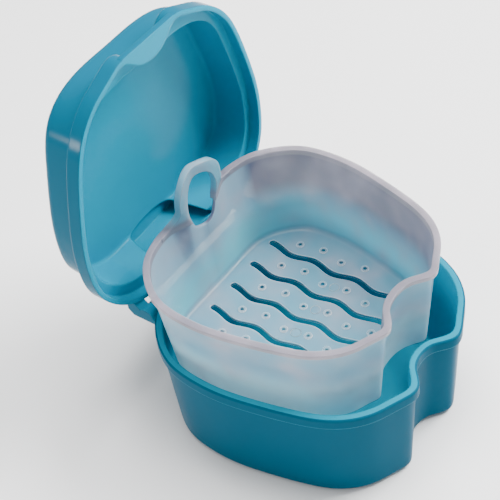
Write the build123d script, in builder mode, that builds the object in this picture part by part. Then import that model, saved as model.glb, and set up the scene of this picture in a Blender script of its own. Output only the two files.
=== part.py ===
"""Denture case: a moulded tub, a strainer tray with a loop handle, and a hinged dome lid.

Frame, in millimetres: X across, +Y to the hinge at the back, +Z up. The origin is the middle of the
tub's resting face. The pieces are written where the open case has them: the lid stands open and the
tray is lifted part of the way out.
"""

import os
from math import cos, pi

from build123d import *

os.makedirs("parts", exist_ok=True)

# ---- the tub's plan, at the inner edge of its rim -------------------------------------------------
half_width = 42.4  # widest half width
rear_y = 43.8  # straight back edge
front_y = -40.6  # the two lobes beside the thumb notch
notch_y = -35.0  # bottom of the thumb notch
notch_half = 11.9  # half width of the notch between its corners
corner_x = 27.0  # where the back edge starts to turn
shoulder_y = 13.0  # the widest station
corner_stretch = 1.1  # a corner moves this much further than the sides beside it

# ---- the tub --------------------------------------------------------------------------------------
tub_height = 40.4
tub_wall = 1.7
tub_floor = 1.6
tub_draft = 1.8  # how far the wall leans in from rim to floor
rim_width = 2.35  # from the inner edge to the outside of the rim's band
rim_band = 3.9  # height of the band
band_step = 1.0  # the band stands this proud of the body
foot_round = 2.6  # round between floor and wall, outside
inner_round = 1.2
rim_round = 0.6

# ---- the strainer tray ----------------------------------------------------------------------------
tray_gap = 1.1  # tub wall to tray lip, all round
tray_floor_gap = 0.3  # tray to tub floor, seated
tray_height = 34.6  # to the top of its lip
tray_wall = 1.1
tray_floor = 1.3
tray_draft = 3.0
tray_rear_lean = 2.3  # the back wall leans in this much more
lip_width = 1.0  # the lip stands this proud of the wall
lip_height = 1.5
tray_round = 1.5  # round between floor and wall, inside
panel_half = 6.5  # flat panel in the middle of the back wall
panel_set = 3.0  # the panel stands this far in from the lobes beside it
panel_flare = 6.5  # each flank of the panel is this wide
handle_top = 18.5  # apex of the loop above the lip
handle_half = 10.4
handle_thick = 2.4
handle_band = 3.5  # width of the loop's band
handle_foot = 6.9  # the opening's round foot lies this far below the lip
handle_flat = 6.0  # above the lip by this much the loop lies in one flat plane
shoulder_half = 17.8  # where the loop runs out into the lip
lift_up = 26.6  # the tray's travel
lift_back = 4.7

# ---- the tray's drainage pattern ------------------------------------------------------------------
slot_pitch = 11.2
slot_count = 5
slot_width = 2.5
wave_length = 16.5
wave_depth = 0.86
slot_rear = 30.4
slot_front = -25.6
hole_width = 1.5
hole_lip = 0.55
hole_lip_height = 0.35
hole_rear = 21.8
row_holes = (4, 5, 6)  # from the outer rows to the middle ones

# ---- the lid --------------------------------------------------------------------------------------
lid_gap = 0.1  # lid on rim
lid_wall = 1.5
lid_edge_inset = 0.4  # lid's band stands in from the tub's band
lid_band = 5.1  # height of the lid's band
lid_skirt = 1.6  # thickness of that band
lid_step = 3.0  # ledge between band and dome
dome_height = 16.9  # roof edge above the lid's foot
dome_draft = 0.8
dome_round = 2.8
crown = 2.2  # how much the middle of the roof is higher than its sides
dome_front_y = -35.4  # the dome's straight front, at its foot
dome_corner = 3.6  # how far back the front's rounded corners start
dome_front_half = 17.0  # the front's nearly straight stretch
dome_front_bow = 0.4  # which bows out by this much
dome_rear_set = 3.4  # the dome's back stands in this much more than its sides
pocket_half = 18.0  # the arched pocket over the handle
pocket_front = 34.8
pocket_depth = 9.2  # from the arch's crown back to its springing
pocket_rise = 1.2  # above the crown
pocket_round = 2.0  # along the arch
pocket_inset = 1.4  # the pocket's back stands in from the lid's band
tab_front = -43.1  # straight front edge over the notch
tab_half = 13.0
tab_thick = 2.0

# ---- the hinge ------------------------------------------------------------------------------------
hinge_y = 46.9
hinge_z = 37.3
open_angle = 91.3
knuckle_radius = 2.5
knuckle_width = 3.8
knuckle_x = 23.4  # middle of the tub's knuckle
knuckle_root = 6.0  # how far the knuckle runs forward into the wall
knuckle_gusset = 3.5  # the gusset under it
knuckle_chin = 0.6  # where the gusset meets the knuckle's round, in radii behind the axis
knuckle_drop = 0.8  # and below it
ear_gap = 0.35  # knuckle to ear, along the axis
pin_radius = 1.25
pin_clearance = 0.07
pin_grip = 0.4  # share of the ear's width from its middle to the pin's root
ear_lap = 5.0  # how far the ear runs forward into the lid's band
heel_length = 3.2  # the ear's stop heel, from the axis
heel_gap = 0.4


def half_plan(moved: float = 0.0) -> list:
    """Half of the tub's rim plan, from the back round to the notch, moved out by `moved`."""
    side = half_width
    knots = [
        (0.0, rear_y),
        (0.5 * corner_x, rear_y),
        (0.76 * corner_x, rear_y - 0.5),
        (corner_x, rear_y - 2.5),
        (0.832 * side, rear_y - 8.9),
        (0.962 * side, shoulder_y + 13.0),
        (side, shoulder_y + 4.0),
        (side, shoulder_y - 4.5),
        (0.953 * side, shoulder_y - 17.0),
        (0.882 * side, front_y + 24.3),
        (0.774 * side, front_y + 13.1),
        (0.583 * side, front_y + 5.0),
        (notch_half + 6.0, front_y + 1.7),
        (notch_half, front_y),
        (notch_half - 2.2, front_y + 1.1),
        (0.47 * notch_half, notch_y - 1.3),
        (0.0, notch_y),
    ]
    return move_out(knots, moved, corner=(-4, -3))


def move_out(knots: list, moved: float, corner: tuple = ()) -> list:
    """Move each knot of a half plan out by `moved`, square to the line between its neighbours.

    The knots of a tight corner, named by `corner`, move together, so it keeps its round.
    """
    first, last = knots[1], knots[-2]
    around = [(-first[0], first[1])] + knots + [(-last[0], last[1])]
    normals = []
    for before, after in zip(around, around[2:]):
        normals.append(Vector(before[1] - after[1], after[0] - before[0]).normalized())
    if corner:
        shared = sum((normals[index] for index in corner), Vector()).normalized() * corner_stretch
        for index in corner:
            normals[index] = shared
    return [(x + moved * n.X, y + moved * n.Y) for (x, y), n in zip(knots, normals)]


def plan_face(half: list, height: float) -> Face:
    """Closed face from a half plan and its mirror image, at a height."""
    mirrored = [(-x, y) for x, y in reversed(half[1:-1])]
    with BuildSketch(Plane.XY.offset(height)) as plan:
        with BuildLine():
            Spline(*half, *mirrored, periodic=True)
        make_face()
    return plan.sketch.face()


# ---- places worked out from the sizes above -------------------------------------------------------
band_z = tub_height - rim_band
body_out = rim_width - band_step
lid_z = tub_height + lid_gap
ledge_z = lid_z + lid_band
roof_z = lid_z + dome_height
crown_z = roof_z + crown
crown_radius = (half_width**2 + crown**2) / (2 * crown)
lid_out = rim_width - lid_edge_inset
tray_z = tub_floor + tray_floor_gap
tray_floor_z = tray_z + tray_floor
lip_z = tray_z + tray_height
apex_z = lip_z + handle_top
ear_x = knuckle_x + knuckle_width + ear_gap


# ---- tub ------------------------------------------------------------------------------------------
with BuildPart() as cavity:
    core_foot = plan_face(half_plan(body_out - tub_draft - tub_wall), tub_floor)
    core_top = plan_face(half_plan(), tub_height)
    loft([core_foot, core_top], ruled=True)
    fillet(cavity.edges().group_by(Axis.Z)[0], inner_round)

with BuildPart() as tub:
    foot_face = plan_face(half_plan(body_out - tub_draft), 0)
    shoulder_face = plan_face(half_plan(body_out), band_z)
    loft([foot_face, shoulder_face], ruled=True)
    fillet(tub.edges().group_by(Axis.Z)[0], foot_round)
    extrude(plan_face(half_plan(rim_width), band_z), amount=rim_band, dir=(0, 0, 1))
    fillet(tub.edges().group_by(Axis.Z)[-1], rim_round)
    # The knuckles are run into the back of the wall, so they go on before the cavity is cut.
    with BuildSketch(Plane.YZ) as knuckle:
        with Locations((hinge_y, hinge_z)):
            Circle(knuckle_radius)
        with BuildLine():
            Polyline(
                (hinge_y, hinge_z + knuckle_radius),
                (hinge_y - knuckle_root, hinge_z + knuckle_radius),
                (hinge_y - knuckle_root, hinge_z - knuckle_radius - knuckle_gusset),
                (hinge_y + knuckle_chin * knuckle_radius, hinge_z - knuckle_drop * knuckle_radius),
                close=True,
            )
        make_face()
    for side in (-1, 1):
        start = side * knuckle_x - knuckle_width / 2
        extrude(knuckle.sketch.moved(Location((start, 0, 0))), amount=knuckle_width, dir=(1, 0, 0))
    add(cavity.part, mode=Mode.SUBTRACT)
    # A bore in each knuckle for the lid's pin, and room beside it for the lid's ear.
    with BuildSketch(Plane.YZ) as bore:
        with Locations((hinge_y, hinge_z)):
            Circle(pin_radius + pin_clearance)
    with BuildSketch(Plane.YZ) as relief:
        with Locations((hinge_y, hinge_z)):
            Circle(heel_length + heel_gap)
    for side in (-1, 1):
        start = side * knuckle_x - knuckle_width / 2
        room = side * ear_x - knuckle_width / 2 - ear_gap
        bore_here = bore.sketch.moved(Location((start, 0, 0)))
        relief_here = relief.sketch.moved(Location((room, 0, 0)))
        extrude(bore_here, amount=knuckle_width, dir=(1, 0, 0), mode=Mode.SUBTRACT)
        extrude(relief_here, amount=knuckle_width + 2 * ear_gap, dir=(1, 0, 0), mode=Mode.SUBTRACT)
tub.part.label = "tub"


# ---- strainer tray --------------------------------------------------------------------------------
def tray_plan(moved: float, height_share: float, panel: float = panel_half) -> list:
    """Half of the tray's plan: share 1 is its lip, share 0 its floor, where it is smaller."""
    lean = 1.0 - height_share
    plan = half_plan(moved - tray_gap - lean * tray_draft)
    lobe_y = plan[0][1]
    inset = panel_set * height_share
    plan[0] = (0.0, lobe_y - inset)
    plan[1] = (panel, lobe_y - inset)
    plan.insert(2, (panel + 0.5 * panel_flare, lobe_y - 0.55 * inset))
    plan.insert(3, (panel + panel_flare, lobe_y - 0.08 * inset))
    back = rear_y - corner_x
    return [(x, y - lean * tray_rear_lean * max(0.0, (y - back) / corner_x)) for x, y in plan]


def wavy_slot(middle: float) -> Sketch:
    """One wavy drainage slot with round ends, along Y."""
    step = -wave_length / 4
    count = int((slot_front - slot_rear) / step)
    stations = [slot_rear + step * index for index in range(count + 1)]

    def side(sign: int) -> list:
        edge = middle + sign * slot_width / 2
        return [(edge - wave_depth * cos(2 * pi * (y - hole_rear) / wave_length), y) for y in stations]

    left, right = side(-1), side(1)
    with BuildSketch() as slot:
        with BuildLine():
            Spline(*left)
            Spline(*right)
            Line(left[0], right[0])
            Line(left[-1], right[-1])
        make_face()
        with Locations(((left[0][0] + right[0][0]) / 2, stations[0])):
            Circle(slot_width / 2)
        with Locations(((left[-1][0] + right[-1][0]) / 2, stations[-1])):
            Circle(slot_width / 2)
    return slot.sketch


slot_rows = [slot_pitch * (index - (slot_count - 1) / 2) for index in range(slot_count)]
holes = []
for order, count in enumerate(row_holes):
    row_x = slot_pitch * (len(row_holes) - order - 0.5)
    for index in range(count):
        shift = -wave_depth if index % 2 == 0 else wave_depth
        hole_y = hole_rear - index * wave_length / 2
        holes += [(row_x + shift, hole_y), (-row_x + shift, hole_y)]

with BuildPart() as basket:
    well_foot = plan_face(tray_plan(-lip_width - tray_wall, 0.0), tray_floor_z)
    well_top = plan_face(tray_plan(-lip_width - tray_wall, 1.0), lip_z)
    loft([well_foot, well_top], ruled=True)
    fillet(basket.edges().group_by(Axis.Z)[0], tray_round)

def plate_body(moved: float) -> Part:
    """The lip's body drawn up, whose flat panel widens to the handle's width on the way."""
    lip_plan = plan_face(tray_plan(moved, 1.0), lip_z)
    flat_plan = plan_face(tray_plan(moved, 1.0, panel=handle_half), lip_z + handle_flat)
    with BuildPart() as body:
        extrude(lip_plan, amount=lip_height, dir=(0, 0, -1))
        loft([lip_plan, flat_plan], ruled=True)
        extrude(flat_plan, amount=handle_top - handle_flat, dir=(0, 0, 1))
    return body.part


with BuildPart() as plate:
    # The lip drawn up at the back, trimmed to the outline of the handle.
    add(plate_body(0.0))
    add(plate_body(-handle_thick), mode=Mode.SUBTRACT)
    with BuildSketch(Plane.XZ) as outline:
        with BuildLine():
            arch_z = apex_z - handle_half
            ThreePointArc((-handle_half, arch_z), (0, apex_z), (handle_half, arch_z))
            for side in (-1, 1):
                Spline(
                    (side * handle_half, arch_z),
                    (side * 1.08 * handle_half, lip_z + 0.2 * handle_top),
                    (side * 0.74 * shoulder_half, lip_z + 0.06 * handle_top),
                    (side * shoulder_half, lip_z),
                    tangents=((0, -1), (side, 0)),
                )
                Line((side * shoulder_half, lip_z), (side * shoulder_half, lip_z - lip_height))
            Line((-shoulder_half, lip_z - lip_height), (shoulder_half, lip_z - lip_height))
        make_face()
    extrude(outline.sketch, amount=-2 * half_width, mode=Mode.INTERSECT)

with BuildPart() as tray:
    wall_foot = plan_face(tray_plan(-lip_width, 0.0), tray_z)
    wall_top = plan_face(tray_plan(-lip_width, 1.0), lip_z)
    loft([wall_foot, wall_top], ruled=True)
    fillet(tray.edges().group_by(Axis.Z)[0], tray_wall)
    extrude(plan_face(tray_plan(0.0, 1.0), lip_z - lip_height), amount=lip_height, dir=(0, 0, 1))
    add(basket.part, mode=Mode.SUBTRACT)
    add(plate.part)
    # The opening runs from the panel below the lip to the loop above it.
    with BuildSketch(Plane.XZ) as opening:
        with Locations((0, lip_z + (handle_top - handle_band - handle_foot) / 2)):
            Ellipse(handle_half - handle_band, (handle_top - handle_band + handle_foot) / 2)
    extrude(opening.sketch, amount=-2 * half_width, mode=Mode.SUBTRACT)
    # Raised rings round the holes, then the holes and the slots.
    with BuildSketch(Plane.XY.offset(tray_floor_z)) as rings:
        with Locations(*holes):
            Circle(hole_width / 2 + hole_lip)
    extrude(rings.sketch, amount=hole_lip_height)
    with BuildSketch(Plane.XY.offset(tray_z)) as drains:
        with Locations(*holes):
            Circle(hole_width / 2)
        for row in slot_rows:
            add(wavy_slot(row))
    extrude(drains.sketch, amount=tray_floor + hole_lip_height, mode=Mode.SUBTRACT)
tray.part.label = "tray"


# ---- lid, as it lies closed -----------------------------------------------------------------------
def dome_plan(moved_in: float, rear_set: float) -> list:
    """Half of the dome's plan, in from the foot of its outside; its front runs straight past the notch."""
    sides = half_plan(lid_out - lid_step)[:-6]
    corner_y = dome_front_y + dome_corner
    front = [
        (sides[-1][0] - 1.5 * dome_corner, corner_y),
        (dome_front_half, dome_front_y + dome_front_bow),
        (0.0, dome_front_y),
    ]
    back = rear_y - corner_x
    plan = move_out(sides + front, -moved_in)
    return [(x, y - rear_set * max(0.0, (y - back) / corner_x)) for x, y in plan]


def dome_solid(thick: float) -> Part:
    """The dome's body from inside the band up to its crowned roof, with its walls moved in by `thick`."""
    foot_plan = dome_plan(thick, 0.5 * dome_rear_set)
    roof_plan = dome_plan(thick + dome_draft, dome_rear_set)
    with BuildPart() as dome:
        loft(
            [plan_face(foot_plan, ledge_z - lid_wall - thick), plan_face(roof_plan, crown_z + lid_wall)],
            ruled=True,
        )
        with BuildSketch(Plane.XZ) as roof:
            with Locations((0, crown_z - thick - crown_radius)):
                Circle(crown_radius)
        extrude(roof.sketch, amount=2 * half_width, both=True, mode=Mode.INTERSECT)
        fillet(dome.edges().group_by(Axis.Z)[-1], dome_round - thick)
    return dome.part


def pocket_solid(thick: float, foot_z: float) -> Part:
    """The arched pocket's body, with its walls moved in by `thick`."""
    pocket_back = pocket_front + pocket_depth
    with BuildPart() as pocket:
        with BuildSketch(Plane.XY.offset(foot_z)):
            with Locations((0, pocket_back)):
                Ellipse(pocket_half - thick, pocket_depth - thick)
                Rectangle(2 * (pocket_half - thick), pocket_depth, align=(Align.CENTER, Align.MIN))
            add(plan_face(half_plan(lid_out - pocket_inset - thick), foot_z), mode=Mode.INTERSECT)
        extrude(amount=crown_z + pocket_rise - thick - foot_z)
        arch = pocket.edges().group_by(Axis.Z)[-1].sort_by(Axis.Y)[0]
        fillet(arch, pocket_round - thick)
    return pocket.part


with BuildSketch(Plane.YZ) as ear:
    with Locations((hinge_y, hinge_z)):
        Circle(knuckle_radius)
    with BuildLine():
        Polyline(
            (hinge_y - ear_lap, lid_z + 0.5 * lid_band),
            (hinge_y - ear_lap, ledge_z - rim_round),
            (hinge_y + 0.2 * knuckle_radius, ledge_z - rim_round),
            (hinge_y + knuckle_radius, lid_z + 0.5 * lid_band),
            (hinge_y + knuckle_radius, hinge_z),
            (hinge_y + knuckle_radius, hinge_z - heel_length),
            (hinge_y, hinge_z - heel_length),
            (hinge_y, hinge_z),
            (hinge_y - knuckle_chin * knuckle_radius, hinge_z + knuckle_drop * knuckle_radius),
            close=True,
        )
    make_face()

with BuildPart() as lid:
    extrude(plan_face(half_plan(lid_out), lid_z), amount=lid_band, dir=(0, 0, 1))
    fillet(lid.edges().group_by(Axis.Z)[-1], rim_round)
    add(dome_solid(0.0))
    add(pocket_solid(0.0, ledge_z - 0.5 * lid_wall))
    # The cavity: the band's inside, then the dome's, then the pocket's.
    skirt_inside = plan_face(half_plan(lid_out - lid_skirt), lid_z)
    extrude(skirt_inside, amount=lid_band - lid_wall, dir=(0, 0, 1), mode=Mode.SUBTRACT)
    add(dome_solid(lid_wall), mode=Mode.SUBTRACT)
    add(pocket_solid(lid_wall, lid_z + 0.5 * lid_wall), mode=Mode.SUBTRACT)
    # The flat thumb tab that closes the notch's mouth.
    with BuildSketch(Plane.XY.offset(lid_z)) as tab:
        with Locations((0, tab_front)):
            Rectangle(2 * tab_half, tab_half, align=(Align.CENTER, Align.MIN))
        fillet(tab.vertices().group_by(Axis.Y)[0], 3 * rim_round)
        add(plan_face(half_plan(lid_out - 0.5 * lid_skirt), lid_z), mode=Mode.SUBTRACT)
    extrude(tab.sketch, amount=tab_thick)
    # Ears, with pins that reach into the tub's knuckles.
    for side in (-1, 1):
        start = side * ear_x - knuckle_width / 2
        extrude(ear.sketch.moved(Location((start, 0, 0))), amount=knuckle_width, dir=(1, 0, 0))
    with BuildSketch(Plane.YZ) as pin:
        with Locations((hinge_y, hinge_z)):
            Circle(pin_radius)
    for side in (-1, 1):
        start = side * (ear_x - pin_grip * knuckle_width)
        reach = knuckle_width + ear_gap
        extrude(pin.sketch.moved(Location((start, 0, 0))), amount=reach, dir=(-side, 0, 0))
lid.part.label = "lid"


# ---- the open case --------------------------------------------------------------------------------
hinge_line = Axis((0, hinge_y, hinge_z), (1, 0, 0))
open_lid = lid.part.rotate(hinge_line, -open_angle)
open_lid.label = "lid"
lifted_tray = tray.part.translate((0, lift_back, lift_up))
lifted_tray.label = "tray"

export_step(tub.part, "parts/tub.step")
export_step(lifted_tray, "parts/tray.step")
export_step(open_lid, "parts/lid.step")
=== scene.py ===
"""Open denture case in moulded plastic: a teal tub and lid, and a frosted strainer tray."""

import logging
import math
from dataclasses import dataclass, field
from enum import Enum

import bpy
import numpy as np
from mathutils import Matrix, Vector


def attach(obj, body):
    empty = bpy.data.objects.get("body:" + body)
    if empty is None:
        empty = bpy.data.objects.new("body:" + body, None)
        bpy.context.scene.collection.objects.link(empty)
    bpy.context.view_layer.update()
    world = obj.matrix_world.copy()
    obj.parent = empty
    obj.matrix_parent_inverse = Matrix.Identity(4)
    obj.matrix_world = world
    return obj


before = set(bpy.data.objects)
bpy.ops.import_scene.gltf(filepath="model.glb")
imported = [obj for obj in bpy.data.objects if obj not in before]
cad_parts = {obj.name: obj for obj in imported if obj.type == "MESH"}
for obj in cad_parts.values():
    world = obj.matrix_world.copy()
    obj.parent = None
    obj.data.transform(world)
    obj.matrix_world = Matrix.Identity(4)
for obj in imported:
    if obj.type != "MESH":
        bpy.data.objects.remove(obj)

LOG = logging.getLogger("denture_case")
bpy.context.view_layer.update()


class Resin(Enum):
    """The three moulding resins of the case."""

    TUB = "tub_resin"
    LID = "lid_resin"
    TRAY = "tray_resin"


@dataclass(frozen=True)
class GlossFinish:
    """Coloured gloss plastic: shaded tone outside, with painted light on its inner walls and edges.

    Lengths are in metres and colours are linear RGB.
    """

    shaded_tone: tuple
    bright: tuple
    roughness: float
    specular: float
    inner_share: float
    edge_share: float
    ior: float = 1.5
    edge_round: float = 0.0008
    ripple: float = 0.00006
    ripple_size: float = 0.018
    scatter: float = 0.05
    scatter_depth: float = 0.002


@dataclass(frozen=True)
class FrostFinish:
    """Frosted see-through plastic with a painted highlight on its pale edges and painted shade on the
    inner wall of one side.

    Low on its inner walls it carries painted teal light from the vessel around it, and its outer foot is
    painted lighter against the shade there. Lengths are in metres and colours are linear RGB. A veil is
    how much a wall hides, and the inner walls with painted shade are those that look towards the far point
    shade_way. A band is a foot and a top height, between which one colour or veil goes over into the next.
    """

    outer: tuple
    painted_lit_foot: tuple
    low: tuple
    floor: tuple
    clear: tuple
    painted_shade: tuple
    shade_way: tuple
    rim: tuple
    grip: tuple
    edge: tuple
    haze: tuple
    haze_share: float
    wall_veil: float
    dense_veil: float
    edge_veil: float
    slot_veil: float
    slot_band: tuple
    floor_band: tuple
    wall_band: tuple
    rim_band: tuple
    grip_band: tuple
    roughness: float
    specular: float
    ior: float = 1.46
    haze_power: float = 3.0
    edge_round: float = 0.0004
    grain: float = 0.00003
    grain_size: float = 0.012
    scatter: float = 0.6
    scatter_depth: float = 0.006
    scatter_radius: tuple = (1.0, 1.0, 1.0)


# Tub and lid carry painted light: inner walls and edges take the lit tone, outer walls the shaded one.
TUB_FINISH = GlossFinish(
    shaded_tone=(0.000, 0.072, 0.125),
    bright=(0.000, 0.370, 0.520),
    roughness=0.30,
    specular=0.022,
    inner_share=1.0,
    edge_share=0.36,
)
LID_FINISH = GlossFinish(
    shaded_tone=(0.000, 0.100, 0.170),
    bright=(0.000, 0.275, 0.420),
    roughness=0.16,
    specular=0.05,
    inner_share=0.92,
    edge_share=0.30,
)
TRAY_FINISH = FrostFinish(
    outer=(0.125, 0.30, 0.40),
    # Painted light on the outer foot, against the shade the tub casts there.
    painted_lit_foot=(0.45, 0.80, 0.92),
    # Painted teal light from the tub, low on the inner walls.
    low=(0.15, 0.60, 0.74),
    floor=(0.110, 0.300, 0.395),
    clear=(0.25, 0.40, 0.50),
    # Painted shade, on the inner walls turned towards the far point after it.
    painted_shade=(0.09, 0.09, 0.15),
    shade_way=(-1.0, 0.35, 0.05),
    rim=(0.20, 0.185, 0.22),
    grip=(0.13, 0.37, 0.47),
    # Painted highlight on the tray's edges.
    edge=(0.86, 0.79, 0.83),
    haze=(0.42, 0.36, 0.42),
    haze_share=1.5,
    wall_veil=0.76,
    dense_veil=0.86,
    edge_veil=0.85,
    slot_veil=0.25,
    slot_band=(0.0288, 0.0298),
    floor_band=(0.0298, 0.0325),
    wall_band=(0.036, 0.052),
    rim_band=(0.0608, 0.0616),
    grip_band=(0.0633, 0.0665),
    roughness=0.26,
    specular=0.35,
)


class ShaderGroups:
    """Shader node groups that the resins share, each built once.

    OPEN_WALL and SHARP_EDGE are cosines between the rounded normal and the true one, where the
    edge mask starts and where it is full. OUTER_SIDE and INNER_SIDE are cosines between the
    normal and the way to the mouth, where a wall counts as outer and as inner.
    """

    BEVEL_SAMPLES = 6
    NOISE_DETAIL = 1.5
    OPEN_WALL = 0.995
    SHARP_EDGE = 0.80
    OUTER_SIDE = -0.10
    INNER_SIDE = 0.15

    def __init__(self) -> None:
        """Build the groups."""
        self.skin = self._skin()
        self.edge_light = self._edge_light()
        self.wall_side = self._wall_side()
        self.rise = self._rise()

    def _tree(self, name: str, inputs: dict, outputs: dict) -> tuple:
        """Empty group with its sockets.

        Args:
            name: the group's name.
            inputs: socket names and kinds that go in.
            outputs: socket names and kinds that come out.

        Returns:
            The tree, its input node and its output node.
        """
        tree = bpy.data.node_groups.new(name, "ShaderNodeTree")
        for way, sockets in (("INPUT", inputs), ("OUTPUT", outputs)):
            for label, kind in sockets.items():
                tree.interface.new_socket(name=label, in_out=way, socket_type="NodeSocket" + kind)
        return tree, tree.nodes.new("NodeGroupInput"), tree.nodes.new("NodeGroupOutput")

    def _join(self, tree: bpy.types.NodeTree, kind: str, operation: str, sources: tuple) -> bpy.types.Node:
        """Math or vector math node.

        Args:
            tree: where it goes.
            kind: the node's kind, after "ShaderNode".
            operation: what it does.
            sources: its inputs in order, each a socket or a number.

        Returns:
            The node.
        """
        node = tree.nodes.new("ShaderNode" + kind)
        node.operation = operation
        for slot, source in enumerate(sources):
            if isinstance(source, bpy.types.NodeSocket):
                tree.links.new(source, node.inputs[slot])
            else:
                node.inputs[slot].default_value = source
        return node

    def _rounded(self, tree: bpy.types.NodeTree, radius: bpy.types.NodeSocket) -> bpy.types.NodeSocket:
        """Normal of the surface with its edges rounded.

        Args:
            tree: where the node goes.
            radius: the rounding's radius.

        Returns:
            The normal.
        """
        soft = tree.nodes.new("ShaderNodeBevel")
        soft.samples = self.BEVEL_SAMPLES
        tree.links.new(radius, soft.inputs["Radius"])
        return soft.outputs["Normal"]

    def _spread(self, tree: bpy.types.NodeTree, value: bpy.types.NodeSocket, low, high) -> bpy.types.Node:
        """Stretch a value to run from 0 to 1, and hold it there beyond.

        Args:
            tree: where the node goes.
            value: what is stretched.
            low: where 0 is, a socket or a number.
            high: where 1 is, a socket or a number.

        Returns:
            The node, with the stretched value in "Result".
        """
        node = tree.nodes.new("ShaderNodeMapRange")
        tree.links.new(value, node.inputs["Value"])
        for label, limit in (("From Min", low), ("From Max", high)):
            if isinstance(limit, bpy.types.NodeSocket):
                tree.links.new(limit, node.inputs[label])
            else:
                node.inputs[label].default_value = limit
        return node

    def _skin(self) -> bpy.types.NodeTree:
        """Slow ripple of a moulded wall, laid over edges that read as slightly round.

        Returns:
            A group that puts out a normal, and a cloudy mask between 0 and 1.
        """
        sockets = {"Size": "Float", "Depth": "Float", "Round": "Float"}
        tree, entry, leave = self._tree("moulded_skin", sockets, {"Cloud": "Float", "Normal": "Vector"})
        place = tree.nodes.new("ShaderNodeTexCoord")
        scale = self._join(tree, "Math", "DIVIDE", (1.0, entry.outputs["Size"]))
        slow = tree.nodes.new("ShaderNodeTexNoise")
        slow.inputs["Detail"].default_value = self.NOISE_DETAIL
        tree.links.new(place.outputs["Object"], slow.inputs["Vector"])
        tree.links.new(scale.outputs[0], slow.inputs["Scale"])
        height = self._join(tree, "Math", "MULTIPLY", (slow.outputs["Fac"], entry.outputs["Depth"]))
        bump = tree.nodes.new("ShaderNodeBump")
        bump.inputs["Distance"].default_value = 1.0
        bump.inputs["Strength"].default_value = 1.0
        tree.links.new(height.outputs[0], bump.inputs["Height"])
        tree.links.new(self._rounded(tree, entry.outputs["Round"]), bump.inputs["Normal"])
        tree.links.new(slow.outputs["Fac"], leave.inputs["Cloud"])
        tree.links.new(bump.outputs["Normal"], leave.inputs["Normal"])
        return tree

    def _edge_light(self) -> bpy.types.NodeTree:
        """Finds edges, which get a painted highlight and, on the tray, a denser veil.

        Returns:
            A group that puts out a mask, 0 on open walls and up to 1 on edges.
        """
        tree, entry, leave = self._tree("edge_light", {"Radius": "Float"}, {"Mask": "Float"})
        surface = tree.nodes.new("ShaderNodeNewGeometry")
        normals = (self._rounded(tree, entry.outputs["Radius"]), surface.outputs["Normal"])
        turn = self._join(tree, "VectorMath", "DOT_PRODUCT", normals)
        spread = self._spread(tree, turn.outputs["Value"], self.OPEN_WALL, self.SHARP_EDGE)
        tree.links.new(spread.outputs["Result"], leave.inputs["Mask"])
        return tree

    def _wall_side(self) -> bpy.types.NodeTree:
        """Tells a vessel's inner walls from its outer ones.

        The mask is the cosine between the surface's normal and the way to a point in the
        vessel's mouth, stretched to run from 0 outside to 1 inside.

        Returns:
            A group that puts out the mask.
        """
        tree, entry, leave = self._tree("wall_side", {"Mouth": "Vector"}, {"Inner": "Float"})
        place = tree.nodes.new("ShaderNodeTexCoord")
        way = self._join(tree, "VectorMath", "SUBTRACT", (entry.outputs["Mouth"], place.outputs["Object"]))
        unit = self._join(tree, "VectorMath", "NORMALIZE", (way.outputs["Vector"],))
        sides = (unit.outputs["Vector"], place.outputs["Normal"])
        facing = self._join(tree, "VectorMath", "DOT_PRODUCT", sides)
        spread = self._spread(tree, facing.outputs["Value"], self.OUTER_SIDE, self.INNER_SIDE)
        tree.links.new(spread.outputs["Result"], leave.inputs["Inner"])
        return tree

    def _rise(self) -> bpy.types.NodeTree:
        """Height up the piece, smoothed to run from 0 at the low height to 1 at the high one.

        Returns:
            A group that puts out that share.
        """
        tree, entry, leave = self._tree("rise", {"Low": "Float", "High": "Float"}, {"Rise": "Float"})
        place = tree.nodes.new("ShaderNodeTexCoord")
        split = tree.nodes.new("ShaderNodeSeparateXYZ")
        tree.links.new(place.outputs["Object"], split.inputs["Vector"])
        spread = self._spread(tree, split.outputs["Z"], entry.outputs["Low"], entry.outputs["High"])
        spread.interpolation_type = "SMOOTHSTEP"
        tree.links.new(spread.outputs["Result"], leave.inputs["Rise"])
        return tree


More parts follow.
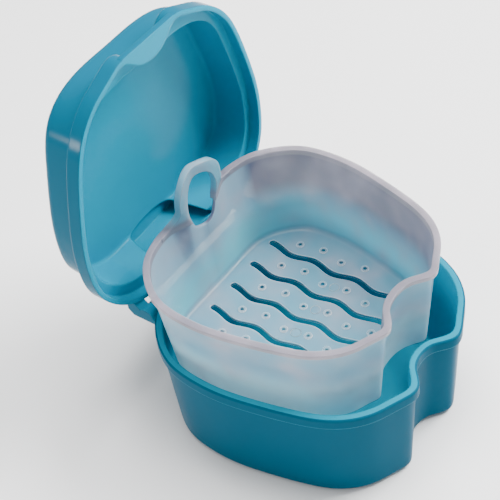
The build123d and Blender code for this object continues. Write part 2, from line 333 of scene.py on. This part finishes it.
class ResinBench:
    """One material under way: its tree, its shader and short ways to add nodes."""

    def __init__(self, name: str, groups: ShaderGroups) -> None:
        """Start an empty material.

        Args:
            name: the material's name.
            groups: the shared shader groups.
        """
        self.material = bpy.data.materials.new(name)
        self.material.use_nodes = True
        self.tree = self.material.node_tree
        self.shader = self.tree.nodes["Principled BSDF"]
        self.groups = groups

    def place(self, group: bpy.types.NodeTree, **values) -> bpy.types.Node:
        """Place a shared group with its own values.

        Args:
            group: which group.
            values: the values of its inputs.

        Returns:
            The group's node.
        """
        node = self.tree.nodes.new("ShaderNodeGroup")
        node.node_tree = group
        for label, value in values.items():
            node.inputs[label].default_value = value
        return node

    def band(self, foot_and_top: tuple) -> bpy.types.NodeSocket:
        """Share of the way up a band of heights.

        Args:
            foot_and_top: the band's two heights, in metres.

        Returns:
            A socket, 0 below the band and 1 above it.
        """
        foot, top = foot_and_top
        return self.place(self.groups.rise, Low=foot, High=top).outputs["Rise"]

    def math(self, operation: str, first, second) -> bpy.types.NodeSocket:
        """Join two values by an operation.

        Args:
            operation: which operation.
            first: socket or number.
            second: socket or number.

        Returns:
            The result's socket.
        """
        node = self.tree.nodes.new("ShaderNodeMath")
        node.operation = operation
        for slot, value in enumerate((first, second)):
            if isinstance(value, bpy.types.NodeSocket):
                self.tree.links.new(value, node.inputs[slot])
            else:
                node.inputs[slot].default_value = value
        return node.outputs[0]

    def blend(self, factor: bpy.types.NodeSocket, first, second) -> bpy.types.NodeSocket:
        """Mix two colours, each a socket or a fixed colour.

        Args:
            factor: 0 gives the first and 1 the second.
            first: socket or linear RGB.
            second: socket or linear RGB.

        Returns:
            The mixed colour's socket.
        """
        node = self.tree.nodes.new("ShaderNodeMix")
        node.data_type = "RGBA"
        self.tree.links.new(factor, node.inputs[0])
        for slot, value in ((6, first), (7, second)):
            if isinstance(value, bpy.types.NodeSocket):
                self.tree.links.new(value, node.inputs[slot])
            else:
                node.inputs[slot].default_value = (*value, 1.0)
        return node.outputs[2]

    def feed(self, label: str, source: bpy.types.NodeSocket) -> None:
        """Link a socket to the shader.

        Args:
            label: the name of the shader's input.
            source: the socket that drives it.
        """
        self.tree.links.new(source, self.shader.inputs[label])

    def fix(self, **values) -> None:
        """Set fixed values on the shader.

        Args:
            values: input names with an underscore for each space, and their values.
        """
        for label, value in values.items():
            self.shader.inputs[label.replace("_", " ")].default_value = value


@dataclass
class Vessel:
    """A moulded vessel of the case.

    Its mouth is a point in metres that tells its inner walls from its outer ones.
    """

    node: str
    resin: Resin
    mouth: tuple

    def wear(self, material: bpy.types.Material) -> None:
        """Give the piece its material.

        Args:
            material: what the piece wears.
        """
        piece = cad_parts[self.node]
        piece.data.materials.clear()
        piece.data.materials.append(material)
        LOG.info("%s wears %s", self.node, material.name)


@dataclass
class GlossVessel(Vessel):
    """Tub or lid in coloured gloss plastic."""

    finish: GlossFinish

    def dress(self, groups: ShaderGroups) -> None:
        """Make the gloss resin and put it on.

        Args:
            groups: the shared shader groups.
        """
        finish = self.finish
        bench = ResinBench(self.resin.value, groups)
        skin = bench.place(
            groups.skin, Size=finish.ripple_size, Depth=finish.ripple, Round=finish.edge_round
        )
        edge = bench.place(groups.edge_light, Radius=finish.edge_round)
        side = bench.place(groups.wall_side, Mouth=self.mouth)
        # Painted light: inner walls and edges are painted in the lit tone, outer walls in the shaded tone.
        inner = bench.math("MULTIPLY", side.outputs["Inner"], finish.inner_share)
        rims = bench.math("MULTIPLY", edge.outputs["Mask"], finish.edge_share)
        lit = bench.math("MAXIMUM", inner, rims)
        bench.feed("Base Color", bench.blend(lit, finish.shaded_tone, finish.bright))
        bench.feed("Normal", skin.outputs["Normal"])
        bench.fix(
            Roughness=finish.roughness,
            IOR=finish.ior,
            Specular_IOR_Level=finish.specular,
            Subsurface_Weight=finish.scatter,
            Subsurface_Scale=finish.scatter_depth,
        )
        self.wear(bench.material)


@dataclass
class FrostVessel(Vessel):
    """Strainer tray in frosted plastic."""

    finish: FrostFinish

    def tint(self, bench: ResinBench, masks: dict) -> bpy.types.NodeSocket:
        """Colour of the resin: walls by side and height, with painted shade and painted light on them,
        then rim, handle, haze and a painted highlight on edges.

        Args:
            bench: the material under way.
            masks: the sockets that tell where on the tray a point is.

        Returns:
            The colour's socket.
        """
        finish = self.finish
        # Painted shade on the inner walls turned towards the far point.
        upper = bench.blend(masks["painted_shade"], finish.clear, finish.painted_shade)
        # Painted teal light from the tub low on the inner walls, the floor in its own colour.
        lower = bench.blend(bench.band(finish.floor_band), finish.floor, finish.low)
        inside = bench.blend(masks["rise"], lower, upper)
        # Painted light on the outer foot, against the shade there.
        outside = bench.blend(masks["rise"], finish.painted_lit_foot, finish.outer)
        body = bench.blend(masks["inner"], outside, inside)
        body = bench.blend(bench.band(finish.rim_band), body, finish.rim)
        body = bench.blend(bench.band(finish.grip_band), body, finish.grip)
        patches = bench.math("POWER", masks["cloud"], finish.haze_power)
        hazed = bench.blend(bench.math("MULTIPLY", patches, finish.haze_share), body, finish.haze)
        # Painted highlight on the edges, pale low down and in the rim colour higher up.
        pale = bench.blend(masks["rise"], finish.edge, finish.rim)
        return bench.blend(masks["edge"], hazed, pale)

    def veil(self, bench: ResinBench, masks: dict) -> bpy.types.NodeSocket:
        """How much the resin hides: most on walls with painted shade, on the outer foot and on edges.

        Within the floor's thickness, so in the slots' own walls, it hides little.

        Args:
            bench: the material under way.
            masks: the sockets that tell where on the tray a point is.

        Returns:
            The veil's socket.
        """
        finish = self.finish
        foot = bench.math("SUBTRACT", 1.0, bench.math("MAXIMUM", masks["inner"], masks["rise"]))
        dense = bench.math("MAXIMUM", masks["painted_shade"], foot)
        gain = bench.math("MULTIPLY", dense, finish.dense_veil - finish.wall_veil)
        wall = bench.math("ADD", gain, finish.wall_veil)
        share = bench.math("MAXIMUM", bench.band(finish.slot_band), finish.slot_veil)
        rims = bench.math("MULTIPLY", masks["edge"], finish.edge_veil)
        return bench.math("MAXIMUM", bench.math("MULTIPLY", wall, share), rims)

    def dress(self, groups: ShaderGroups) -> bpy.types.Material:
        """Make the frosted resin and put it on.

        Args:
            groups: the shared shader groups.

        Returns:
            The resin, for what else belongs to the tray.
        """
        finish = self.finish
        bench = ResinBench(self.resin.value, groups)
        skin = bench.place(
            groups.skin, Size=finish.grain_size, Depth=finish.grain, Round=finish.edge_round
        )
        inner = bench.place(groups.wall_side, Mouth=self.mouth).outputs["Inner"]
        # Inner walls turned towards this far point get the painted shade.
        turned = bench.place(groups.wall_side, Mouth=finish.shade_way).outputs["Inner"]
        masks = {
            "cloud": skin.outputs["Cloud"],
            "edge": bench.place(groups.edge_light, Radius=finish.edge_round).outputs["Mask"],
            "inner": inner,
            "painted_shade": bench.math("MULTIPLY", inner, turned),
            "rise": bench.band(finish.wall_band),
        }
        bench.feed("Base Color", self.tint(bench, masks))
        bench.feed("Alpha", self.veil(bench, masks))
        bench.feed("Normal", skin.outputs["Normal"])
        bench.fix(
            Roughness=finish.roughness,
            IOR=finish.ior,
            Specular_IOR_Level=finish.specular,
            Subsurface_Weight=finish.scatter,
            Subsurface_Scale=finish.scatter_depth,
            Subsurface_Radius=finish.scatter_radius,
        )
        self.wear(bench.material)
        return bench.material


@dataclass
class EjectorMarks:
    """Faint raised rings that the mould's ejector pins leave on the tray's floor.

    Lengths are in metres, in the frame of the open case.
    """

    floor_z: float = 0.0298
    row_y: float = 0.0059
    pitch: float = 0.0112
    count: int = 4
    ring_radius: float = 0.0017
    bead_radius: float = 0.00014
    around: int = 40
    across: int = 8

    def rings(self) -> tuple:
        """Grid of small rings.

        Each ring is a torus: a bead circle of angle v carried round a ring of angle u, so a
        point lies at ring_radius + bead_radius cos v from the middle, at height bead_radius sin v.

        Returns:
            Vertices as an array of shape (n, 3), and faces as an array of shape (m, 4).
        """
        u = np.linspace(0.0, 2.0 * np.pi, self.around, endpoint=False)[:, None]
        v = np.linspace(0.0, 2.0 * np.pi, self.across, endpoint=False)[None, :]
        reach = self.ring_radius + self.bead_radius * np.cos(v)
        height = self.bead_radius * np.sin(v) + 0.0 * u
        ring = np.stack((reach * np.cos(u), reach * np.sin(u), height), axis=-1)
        places = self.pitch * (np.arange(self.count) - (self.count - 1) / 2.0)
        row = np.full(self.count, self.row_y)
        middles = np.stack((places, row, np.full(self.count, self.floor_z)), axis=-1)
        points = (ring[None] + middles[:, None, None]).reshape(-1, 3)
        shape = (self.count, self.around, self.across)
        index = np.arange(math.prod(shape)).reshape(shape)
        ahead = np.roll(index, -1, axis=1)
        faces = np.stack((index, ahead, np.roll(ahead, -1, axis=2), np.roll(index, -1, axis=2)), axis=-1)
        return points, faces.reshape(-1, 4)

    def build(self, material: bpy.types.Material) -> None:
        """Make the rings and let them ride the tray.

        Args:
            material: the tray's resin.
        """
        points, faces = self.rings()
        mesh = bpy.data.meshes.new("ejector_marks")
        mesh.from_pydata(points.tolist(), [], faces.tolist())
        mesh.polygons.foreach_set("use_smooth", np.ones(len(mesh.polygons), dtype=bool))
        mesh.materials.append(material)
        marks = bpy.data.objects.new("ejector_marks", mesh)
        bpy.context.scene.collection.objects.link(marks)
        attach(marks, "tray")
        LOG.info("%d ejector marks", self.count)


@dataclass
class Studio:
    """Pale floor, soft light and the camera.

    Angles are in degrees, lens and sensor in millimetres, and other lengths in metres. Each
    lamp has a place, the length of its side and its watts.
    """

    azimuth: float = -48.383
    elevation: float = 46.032
    roll: float = -8.215
    lens: float = 101.84
    sensor: float = 36.0
    eye: tuple = (-0.23180, -0.18072, 0.37419)
    aim: tuple = (0.0, 0.02, 0.05)
    floor_half: float = 3.0
    paper: float = 0.95
    paper_roughness: float = 0.9
    surround: float = 0.60
    lamps: dict = field(
        default_factory=lambda: {
            "key": ((0.48, -0.30, 0.68), 0.40, 16.0),
            "top": ((0.10, 0.10, 0.95), 0.50, 13.0),
            "window": ((-0.75, 0.62, 0.22), 0.13, 3.0),
        }
    )

    def floor(self) -> None:
        """Wide pale floor under the case."""
        half = self.floor_half
        corners = [(-half, -half, 0.0), (half, -half, 0.0), (half, half, 0.0), (-half, half, 0.0)]
        mesh = bpy.data.meshes.new("floor")
        mesh.from_pydata(corners, [], [(0, 1, 2, 3)])
        floor = bpy.data.objects.new("floor", mesh)
        bpy.context.scene.collection.objects.link(floor)
        material = bpy.data.materials.new("floor_paper")
        material.use_nodes = True
        shader = material.node_tree.nodes["Principled BSDF"]
        shader.inputs["Base Color"].default_value = (self.paper, self.paper, self.paper, 1.0)
        shader.inputs["Roughness"].default_value = self.paper_roughness
        mesh.materials.append(material)

    def camera(self) -> None:
        """Camera turned by azimuth, elevation and roll."""
        azimuth, elevation, roll = (math.radians(a) for a in (self.azimuth, self.elevation, self.roll))
        flat = math.cos(elevation)
        back = Vector((flat * math.sin(azimuth), -flat * math.cos(azimuth), math.sin(elevation)))
        level = Vector((math.cos(azimuth), math.sin(azimuth), 0.0))
        upright = back.cross(level)
        right = math.cos(roll) * level + math.sin(roll) * upright
        up = math.cos(roll) * upright - math.sin(roll) * level
        data = bpy.data.cameras.new("camera")
        data.lens = self.lens
        data.sensor_width = self.sensor
        camera = bpy.data.objects.new("camera", data)
        turn = Matrix((right, up, back)).transposed().to_4x4()
        camera.matrix_world = Matrix.Translation(self.eye) @ turn
        bpy.context.scene.collection.objects.link(camera)
        bpy.context.scene.camera = camera

    def lamp(self, name: str, place: tuple, size: float, power: float) -> None:
        """Soft square lamp that looks at the case.

        Args:
            name: the lamp's name.
            place: where it hangs, in metres.
            size: the length of its side, in metres.
            power: watts.
        """
        data = bpy.data.lights.new(name, "AREA")
        data.energy = power
        data.size = size
        lamp = bpy.data.objects.new(name, data)
        way = Vector(self.aim) - Vector(place)
        turn = way.to_track_quat("-Z", "Y").to_matrix().to_4x4()
        lamp.matrix_world = Matrix.Translation(place) @ turn
        bpy.context.scene.collection.objects.link(lamp)

    def build(self) -> None:
        """Floor, camera, lamps and an even surround."""
        self.floor()
        self.camera()
        for name, (place, size, power) in self.lamps.items():
            self.lamp(name, place, size, power)
        world = bpy.data.worlds.new("surround")
        bpy.context.scene.world = world
        world.use_nodes = True
        sky = world.node_tree.nodes["Background"]
        sky.inputs["Color"].default_value = (1.0, 1.0, 1.0, 1.0)
        sky.inputs["Strength"].default_value = self.surround


def main() -> None:
    """Dress the case and set the studio."""
    logging.basicConfig(level=logging.INFO)
    groups = ShaderGroups()
    tub = GlossVessel("tub", Resin.TUB, mouth=(0.0, 0.0, 0.0415), finish=TUB_FINISH)
    lid = GlossVessel("lid", Resin.LID, mouth=(0.0, 0.030, 0.082), finish=LID_FINISH)
    tray = FrostVessel("tray", Resin.TRAY, mouth=(0.0, 0.004, 0.085), finish=TRAY_FINISH)
    tub.dress(groups)
    lid.dress(groups)
    EjectorMarks().build(tray.dress(groups))
    Studio().build()


if __name__ == "__main__":
    main()
